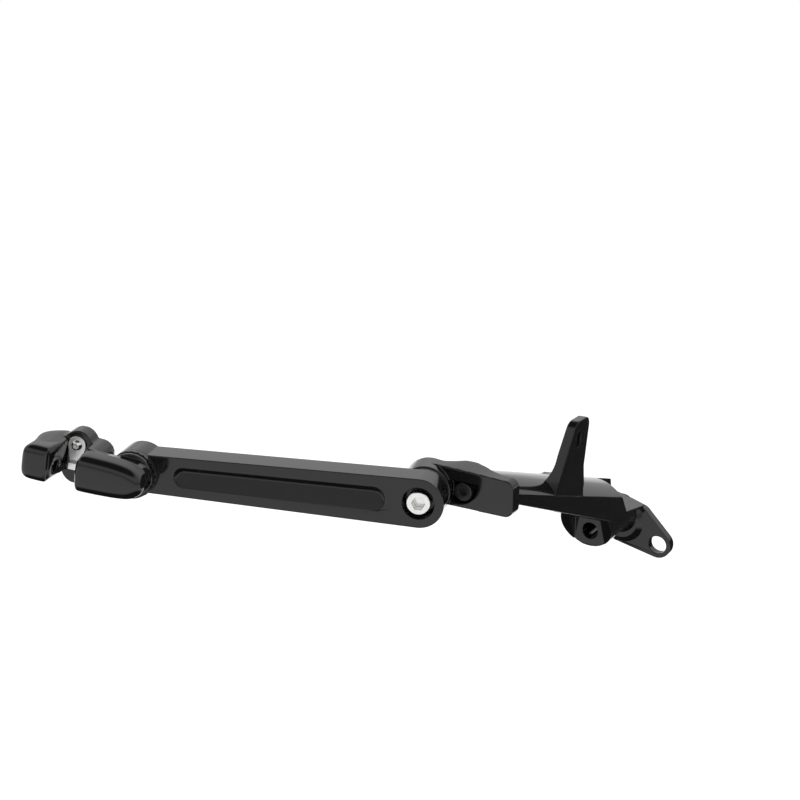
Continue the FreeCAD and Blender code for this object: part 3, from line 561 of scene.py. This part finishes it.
@dataclass
class ArmCasting(RoundedPiece):
    """The support arm, with the scooped form of its outer channel.

    Attributes:
        pivot: Centre of the arm's pivot, in metres.
        splay: Angle by which the arm points away from straight ahead, in degrees.
        rise: Angle by which it rises, in degrees.
        depth: Depth of the channel's floor in the frame solid, in metres.
        ends: Distances of the channel's round ends from the pivot, in metres.
        end_reach: How far the channel's round ends run past them, in metres.
        half_height: Half the channel's height at its rear end, in metres.
        scoop: Depth of the channel at its upper edge, in metres.
        draft: Width of its sloped wall there, in metres.
        touch: How far a point may lie from the floor and belong to it, in metres.
        rim_merging: Distance within which the floor's lower edge joins the arm's face, in metres.
    """

    pivot: tuple[float, float, float] = (23.2 * MM, 302.3 * MM, 93.4 * MM)
    splay: float = 20.0
    rise: float = 2.5
    depth: float = 2.6 * MM
    ends: tuple[float, float] = (30.0 * MM, 159.0 * MM)
    end_reach: float = 10.0 * MM
    half_height: float = 8.2 * MM
    scoop: float = 3.4 * MM
    draft: float = 3.6 * MM
    touch: float = 0.01 * MM
    rim_merging: float = 0.03 * MM

    def trim(self, piece: bpy.types.Object) -> None:
        """Slopes the channel's floor, deep above and shallow below, and its wall.

        Args:
            piece: The copy of the frame solid.
        """
        place = own_axes(self.pivot, self.splay, self.rise)
        piece.data.transform(place.inverted())
        rear, front = self.ends
        for point in piece.data.vertices:
            inside = rear - self.end_reach < point.co.x < front + self.end_reach
            if inside and abs(point.co.y + self.depth) < self.touch:
                middle = min(max(point.co.x, rear), front)
                offset = Vector((point.co.x - middle, point.co.z))
                share = part_way(offset.y, -self.half_height, self.half_height)
                offset *= 1.0 - self.draft * share / max(offset.length, self.draft)
                point.co = Vector((middle + offset.x, -self.scoop * share, offset.y))
        piece.data.transform(place)
        merge(piece, self.rim_merging)


@dataclass
class ClevisCasting:
    """The peg clevis with the full, soft edges of its casting.

    Its own axes run along the tines, along the pivot and upwards.

    Attributes:
        pivot: Centre of the clevis pivot, in metres.
        splay: Angle by which its tines point away from straight ahead, in degrees.
        rise: Angle by which they rise, in degrees.
        grain: Size of the surface's facets before they are smoothed, in metres.
        edge_passes: Passes of smoothing over every edge.
        outer_passes: Further passes over the edges of the outer faces.
        tine_share: Share of the further passes that the front tine takes.
        soft_start: Height along the pivot where the further passes begin, in metres.
        soft_blend: Distance over which they grow to their full effect, in metres.
        tine_start: Distance from the pivot where they begin on the front tine, in metres.
        swell: Thickness that makes up for what they take off the outer faces, in metres.
        gap_middle: Distance of the peg gap's middle from the pivot, in metres.
        gap_lean: How far a face leans towards the gap where the swelling fades and where it ends.
        bore_centre: Height of the peg pin's bore along the pivot and above it, in metres.
        bore_radius: Radius of that bore, in metres.
        bore_margin: Distance from the bore over which it keeps its form, in metres.
        nose_start: Distance from the pivot where the rear tine's nose begins to taper, in metres.
        nose_height: Height of the nose's tip above the pivot, in metres.
        nose_taper: Share by which the nose has narrowed at its tip.
        back_start: Near corner of the front tine's sloped back, along and across, in metres.
        back_end: Far corner of the sloped back, along and across, in metres.
        back_bulge: Height by which the sloped back is crowned, in metres.
        back_depth: Depth below it where the crowning has faded, in metres.
    """

    pivot: tuple[float, float, float] = (204.951 * MM, 368.452 * MM, 101.845 * MM)
    splay: float = 20.0
    rise: float = 10.4
    grain: float = 0.5 * MM
    edge_passes: int = 8
    outer_passes: int = 450
    tine_share: float = 0.3
    soft_start: float = 8.0 * MM
    soft_blend: float = 7.0 * MM
    tine_start: float = 50.0 * MM
    swell: float = 1.9 * MM
    gap_middle: float = 42.0 * MM
    gap_lean: tuple[float, float] = (0.2, 0.6)
    bore_centre: tuple[float, float] = (16.0 * MM, -1.5 * MM)
    bore_radius: float = 4.0 * MM
    bore_margin: float = 3.0 * MM
    nose_start: float = 14.0 * MM
    nose_height: float = 0.0 * MM
    nose_taper: float = 0.3
    back_start: tuple[float, float] = (55.5 * MM, -15.0 * MM)
    back_end: tuple[float, float] = (67.5 * MM, 9.0 * MM)
    back_bulge: float = 5.5 * MM
    back_depth: float = 11.0 * MM

    def taper_nose(self, piece: bpy.types.Object) -> None:
        """Narrows the nose of the rear tine towards its tip.

        Args:
            piece: The clevis in its own axes, with fine facets.
        """
        tip = min(point.co.x for point in piece.data.vertices if point.co.y > self.soft_start)
        for point in piece.data.vertices:
            near = max(0.0, self.nose_start - point.co.x) / (self.nose_start - tip)
            side = part_way(point.co.y, self.soft_start, self.soft_start + self.soft_blend)
            point.co.z += (self.nose_height - point.co.z) * self.nose_taper * side * near ** 2

    def crown_back(self, piece: bpy.types.Object) -> None:
        """Crowns the sloped back of the front tine.

        Args:
            piece: The clevis in its own axes, with fine facets.
        """
        start, end = Vector(self.back_start), Vector(self.back_end)
        along = (end - start).normalized()
        out = Vector((along.y, -along.x))
        for point in piece.data.vertices:
            offset = Vector((point.co.x, point.co.y)) - start
            share = offset.dot(along) / (end - start).length
            depth = -offset.dot(out)
            if 0.0 < share < 1.0 and depth < self.back_depth:
                fade = fall_off(max(depth, 0.0) / self.back_depth)
                lift = self.back_bulge * math.sin(math.pi * share) * fade
                point.co.x += out.x * lift
                point.co.y += out.y * lift

    def softness(self, place: Vector) -> float:
        """Finds how much of the further smoothing a place takes.

        Args:
            place: A point of the clevis in its own axes.

        Returns:
            The share, from nought to one.
        """
        across = (place.y - self.soft_start) / self.soft_blend
        if place.x > self.tine_start - self.soft_blend:
            across *= self.tine_share
        ahead = self.tine_share * min(1.0, (place.x - self.tine_start) / self.soft_blend)
        from_bore = math.hypot(place.y - self.bore_centre[0], place.z - self.bore_centre[1])
        clear = (from_bore - self.bore_radius) / self.bore_margin
        return clamp(min(max(across, ahead), clear))

    def soften(self, piece: bpy.types.Object) -> None:
        """Rounds the casting's edges, most of all those of its outer faces.

        Args:
            piece: The clevis in its own axes, with fine facets.
        """
        outer = piece.vertex_groups.new(name="outer")
        shares = [self.softness(point.co) for point in piece.data.vertices]
        for point, share in zip(piece.data.vertices, shares):
            outer.add([point.index], share, "REPLACE")
        add_smoothing(piece, self.edge_passes)
        add_smoothing(piece, self.outer_passes, outer.name)
        apply_modifiers(piece)
        ways = [point.normal.copy() for point in piece.data.vertices]
        for point, way, share in zip(piece.data.vertices, ways, shares):
            inward = way.x if point.co.x < self.gap_middle else -way.x
            point.co += way * self.swell * share * part_way(inward, self.gap_lean[1], self.gap_lean[0])

    def build(self, material: bpy.types.Material) -> bpy.types.Object:
        """Builds the casting, which stands for the frame solid.

        Args:
            material: Material of the finish.

        Returns:
            The finished piece.
        """
        place = own_axes(self.pivot, self.splay, self.rise)
        piece = merged_copy("peg_clevis", "peg_clevis_casting", place)
        add_facets(piece, self.grain)
        apply_modifiers(piece)
        self.taper_nose(piece)
        self.crown_back(piece)
        self.soften(piece)
        piece.data.transform(place)
        activate(piece)
        bpy.ops.object.shade_smooth()
        piece.data.materials.clear()
        piece.data.materials.append(material)
        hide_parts("peg_clevis")
        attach(piece, Part.CLEVIS.value)
        return piece


@dataclass
class PegMount:
    """The whole mount, with the rounding of each casting and fastener.

    Attributes:
        casting_radius: Rounding of the bracket's edges, in metres.
        arm_radius: Rounding of the arm's edges, in metres.
        fastener_radius: Rounding of bolts, washers and the like, in metres.
        ring_radius: Rounding of the serrated rings, in metres.
    """

    casting_radius: float = 0.6 * MM
    arm_radius: float = 0.5 * MM
    fastener_radius: float = 0.25 * MM
    ring_radius: float = 0.12 * MM

    def pieces(self) -> list[RoundedPiece]:
        """Lists the mount's pieces from the frame outwards, without the clevis.

        Returns:
            One entry for each of the other frame solids.
        """
        small, ring = self.fastener_radius, self.ring_radius
        return [
            BracketCasting("frame_bracket", Part.BRACKET, GLOSS_BLACK, self.casting_radius),
            KnuckleCasting("end_knuckle", Part.BRACKET, GLOSS_BLACK, 0.0, smoothest=50.0),
            # The knuckle bolt, the washers and the serrated rings take painted shade: near-black colour
            # on steel.
            RoundedPiece("knuckle_bolt", Part.BRACKET, BOLT_PAINTED_SHADE, small),
            RoundedPiece("knuckle_lock_washer", Part.BRACKET, RING_PAINTED_SHADE, small),
            RoundedPiece("beam_thread_insert", Part.BRACKET, PLATED_STEEL, small),
            RoundedPiece("pivot_thread_insert", Part.BRACKET, PLATED_STEEL, small),
            RoundedPiece("rear_serrated_ring", Part.BRACKET, RING_PAINTED_SHADE, ring),
            RoundedPiece("rear_ring_dowels", Part.BRACKET, PLATED_STEEL, small),
            RoundedPiece("arm_pivot_bolt", Part.BRACKET, BRIGHT_STEEL, small),
            RoundedPiece("arm_pivot_washer", Part.BRACKET, RING_PAINTED_SHADE, small),
            ArmCasting("support_arm", Part.ARM, GLOSS_BLACK, self.arm_radius),
            RoundedPiece("arm_badge", Part.ARM, BADGE_BLACK, small),
            RoundedPiece("front_serrated_ring", Part.ARM, RING_PAINTED_SHADE, ring),
            RoundedPiece("front_ring_dowels", Part.ARM, PLATED_STEEL, small),
            RoundedPiece("clevis_thread_insert", Part.CLEVIS, PLATED_STEEL, small),
            RoundedPiece("front_screw", Part.CLEVIS, BRIGHT_STEEL, small),
            RoundedPiece("front_washer", Part.CLEVIS, PLATED_STEEL, small),
            RoundedPiece("detent_leaf", Part.CLEVIS, SPRING_STEEL, small),
            RoundedPiece("leaf_screw", Part.CLEVIS, BRIGHT_STEEL, small),
        ]

    def build(self) -> None:
        """Builds every piece and logs it."""
        materials = {}
        for entry in self.pieces():
            if entry.finish.name not in materials:
                materials[entry.finish.name] = entry.finish.material()
            piece = entry.build(materials[entry.finish.name])
            LOG.info("%s: %d faces", piece.name, len(piece.data.polygons))
        casting = ClevisCasting().build(materials[GLOSS_BLACK.name])
        LOG.info("%s: %d faces", casting.name, len(casting.data.polygons))


# Studio


@dataclass(frozen=True)
class Lamp:
    """A soft rectangular lamp that looks at the mount.

    Attributes:
        name: Lamp's name.
        place: Where it hangs, in metres.
        size: Width and height, in metres.
        power: Power in watts.
    """

    name: str
    place: tuple[float, float, float]
    size: tuple[float, float]
    power: float

    def build(self) -> None:
        """Hangs the lamp."""
        data = bpy.data.lights.new(self.name, "AREA")
        data.shape = "RECTANGLE"
        data.size, data.size_y = self.size
        data.energy = self.power
        lamp = bpy.data.objects.new(self.name, data)
        bpy.context.scene.collection.objects.link(lamp)
        lamp.location = self.place
        lamp.visible_glossy = False
        centre = (CAD_BOX[0] + CAD_BOX[1]) / 2
        lamp.rotation_mode = "QUATERNION"
        lamp.rotation_quaternion = (centre - Vector(self.place)).to_track_quat("-Z", "Y")


@dataclass
class Studio:
    """Camera, floor, flag, world and lamps.

    Attributes:
        camera_place: Where the camera stands, in metres.
        camera_azimuth: Direction that it looks from, in degrees.
        camera_elevation: Angle by which it looks down, in degrees.
        camera_range: Nearest and farthest distance that it shows, in metres.
        lens: Focal length, in millimetres.
        floor_gap: Distance of the floor below the mount, in metres.
        floor_size: Length of the floor's sides, in metres.
        floor_colour: Colour of the floor.
        floor_roughness: Roughness of the floor.
        floor_steep: Layer weights at which reflections begin to see it dark and see it all dark.
        floor_dark: Tone that they see there.
        world_fill: Strength of the world's light on rough surfaces.
        dark_from: Upward parts of a reflected ray's way between which the backdrop turns dark.
        dark_tone: Tone of the backdrop above them.
        dim_up_to: Upward parts of its way between which the backdrop turns from dimmed to white.
        dimming: Share by which it is dimmed below them.
        flag_place: Place of the flag's centre, in metres.
        flag_turn: Angle by which the flag is turned about the vertical, in degrees.
        flag_size: Width and height of the flag, in metres.
        flag_tone: Tone of the flag.
        sun_strength: Strength of the light from overhead.
        sun_width: Angle that this light fills, in degrees.
        lamps: Lamps that look at the mount.
    """

    camera_place: tuple[float, float, float] = (-0.4031, 1.0373, 0.4139)
    camera_azimuth: float = 210.9
    camera_elevation: float = 16.42
    camera_range: tuple[float, float] = (0.01, 100.0)
    lens: float = 63.0
    floor_gap: float = 0.35
    floor_size: float = 30.0
    floor_colour: tuple[float, float, float] = (0.94, 0.94, 0.94)
    floor_roughness: float = 0.9
    floor_steep: tuple[float, float] = (0.45, 0.3)
    floor_dark: float = 0.01
    world_fill: float = 0.97
    dark_from: tuple[float, float] = (0.62, 0.82)
    dark_tone: float = 0.02
    dim_up_to: tuple[float, float] = (0.2, 0.32)
    dimming: float = 0.36
    flag_place: tuple[float, float, float] = (-0.31, -0.37, -0.19)
    flag_turn: float = 31.0
    flag_size: tuple[float, float] = (0.95, 0.4)
    flag_tone: float = 0.035
    sun_strength: float = 0.5
    sun_width: float = 70.0
    lamps: tuple[Lamp, ...] = (
        Lamp("key_lamp", (-0.5, 0.6, 1.4), (1.2, 1.2), 4.0),
        Lamp("back_lamp", (0.6, -0.8, 1.1), (1.4, 0.8), 4.0),
    )

    def camera(self) -> None:
        """Places the camera where the photograph was taken from."""
        data = bpy.data.cameras.new("camera")
        data.lens = self.lens
        data.clip_start, data.clip_end = self.camera_range
        camera = bpy.data.objects.new("camera", data)
        bpy.context.scene.collection.objects.link(camera)
        turn, rise = math.radians(self.camera_azimuth), math.radians(self.camera_elevation)
        back = Vector((math.sin(turn) * math.cos(rise), -math.cos(turn) * math.cos(rise), math.sin(rise)))
        camera.rotation_mode = "QUATERNION"
        camera.rotation_quaternion = (-back).to_track_quat("-Z", "Y")
        camera.location = self.camera_place
        bpy.context.scene.camera = camera

    def floor(self) -> None:
        """Lays a pale floor below the mount, which steep reflections see as dark."""
        bpy.ops.object.select_all(action="DESELECT")
        level = CAD_BOX[0].z - self.floor_gap
        bpy.ops.mesh.primitive_plane_add(size=self.floor_size, location=(0.0, 0.0, level))
        floor = bpy.context.object
        floor.name = "floor"
        material, tree, shader = new_material("pale_floor")
        shader.inputs["Base Color"].default_value = (*self.floor_colour, 1.0)
        shader.inputs["Roughness"].default_value = self.floor_roughness
        shader.inputs["Specular IOR Level"].default_value = 0.0
        dark = tree.nodes.new("ShaderNodeBsdfDiffuse")
        dark.inputs["Color"].default_value = grey(self.floor_dark)
        facing = tree.nodes.new("ShaderNodeLayerWeight")
        path = tree.nodes.new("ShaderNodeLightPath")
        steep = add_ramp(tree, facing.outputs["Facing"], self.floor_steep)
        share = combine(tree, "MULTIPLY", steep, path.outputs["Is Glossy Ray"])
        blend = add_mix(tree, share, shader.outputs[0], dark.outputs[0])
        tree.links.new(blend, tree.nodes["Material Output"].inputs["Surface"])
        floor.data.materials.append(material)

    def flag(self) -> None:
        """Stands a black flag where the rear sides of the castings mirror it."""
        bpy.ops.object.select_all(action="DESELECT")
        turn = (math.radians(90.0), 0.0, -math.radians(self.flag_turn))
        bpy.ops.mesh.primitive_plane_add(size=1.0, location=self.flag_place, rotation=turn)
        flag = bpy.context.object
        flag.name = "black_flag"
        flag.scale = (*self.flag_size, 1.0)
        flag.visible_camera = False
        flag.visible_diffuse = False
        flag.visible_shadow = False
        material, _, shader = new_material("dark_cloth")
        shader.inputs["Base Color"].default_value = grey(self.flag_tone)
        shader.inputs["Roughness"].default_value = 1.0
        shader.inputs["Specular IOR Level"].default_value = 0.0
        flag.data.materials.append(material)

    def backdrop(self, tree: bpy.types.NodeTree, glossy: bpy.types.NodeSocket) -> bpy.types.NodeSocket:
        """Adds the white backdrop, which reflections see dimmed low down and dark overhead.

        Args:
            tree: The world's node tree.
            glossy: One for a reflected ray, nought for any other.

        Returns:
            The backdrop's shader.
        """
        way = tree.nodes.new("ShaderNodeTexCoord")
        parts = tree.nodes.new("ShaderNodeSeparateXYZ")
        tree.links.new(way.outputs["Generated"], parts.inputs["Vector"])
        low = add_ramp(tree, parts.outputs["Z"], self.dim_up_to, (self.dimming, 0.0))
        strength = tree.nodes.new("ShaderNodeMath")
        strength.operation = "SUBTRACT"
        strength.inputs[0].default_value = 1.0
        tree.links.new(combine(tree, "MULTIPLY", low, glossy), strength.inputs[1])
        white = add_background(tree, 1.0, 1.0)
        tree.links.new(strength.outputs[0], white.inputs["Strength"])
        steep = add_ramp(tree, parts.outputs["Z"], self.dark_from)
        above = combine(tree, "MULTIPLY", steep, glossy)
        dark = add_background(tree, self.dark_tone, 1.0)
        return add_mix(tree, above, white.outputs[0], dark.outputs[0])

    def world(self) -> None:
        """Gives a backdrop for the camera and reflections, and a plain fill light for the rest."""
        world = bpy.data.worlds.new("studio")
        bpy.context.scene.world = world
        world.use_nodes = True
        tree = world.node_tree
        tree.nodes.clear()
        path = tree.nodes.new("ShaderNodeLightPath")
        glossy = path.outputs["Is Glossy Ray"]
        both = combine(tree, "MAXIMUM", path.outputs["Is Camera Ray"], glossy)
        clear = combine(tree, "MAXIMUM", both, path.outputs["Is Transmission Ray"])
        fill = add_background(tree, 1.0, self.world_fill)
        output = tree.nodes.new("ShaderNodeOutputWorld")
        blend = add_mix(tree, clear, fill.outputs[0], self.backdrop(tree, glossy))
        tree.links.new(blend, output.inputs["Surface"])

    def sun(self) -> None:
        """Hangs a wide, weak lamp overhead for the soft shadow on the floor."""
        data = bpy.data.lights.new("ceiling_lamp", "SUN")
        data.energy = self.sun_strength
        data.angle = math.radians(self.sun_width)
        lamp = bpy.data.objects.new("ceiling_lamp", data)
        lamp.visible_glossy = False
        bpy.context.scene.collection.objects.link(lamp)

    def build(self) -> None:
        """Sets up the whole studio."""
        self.camera()
        self.floor()
        self.flag()
        self.world()
        self.sun()
        for lamp in self.lamps:
            lamp.build()
        scene = bpy.context.scene
        scene.view_settings.view_transform = "Standard"


def main() -> None:
    """Builds the mount and its studio."""
    logging.basicConfig(level=logging.INFO, format="%(name)s: %(message)s")
    Studio().build()
    PegMount().build()


if __name__ == "__main__":
    main()
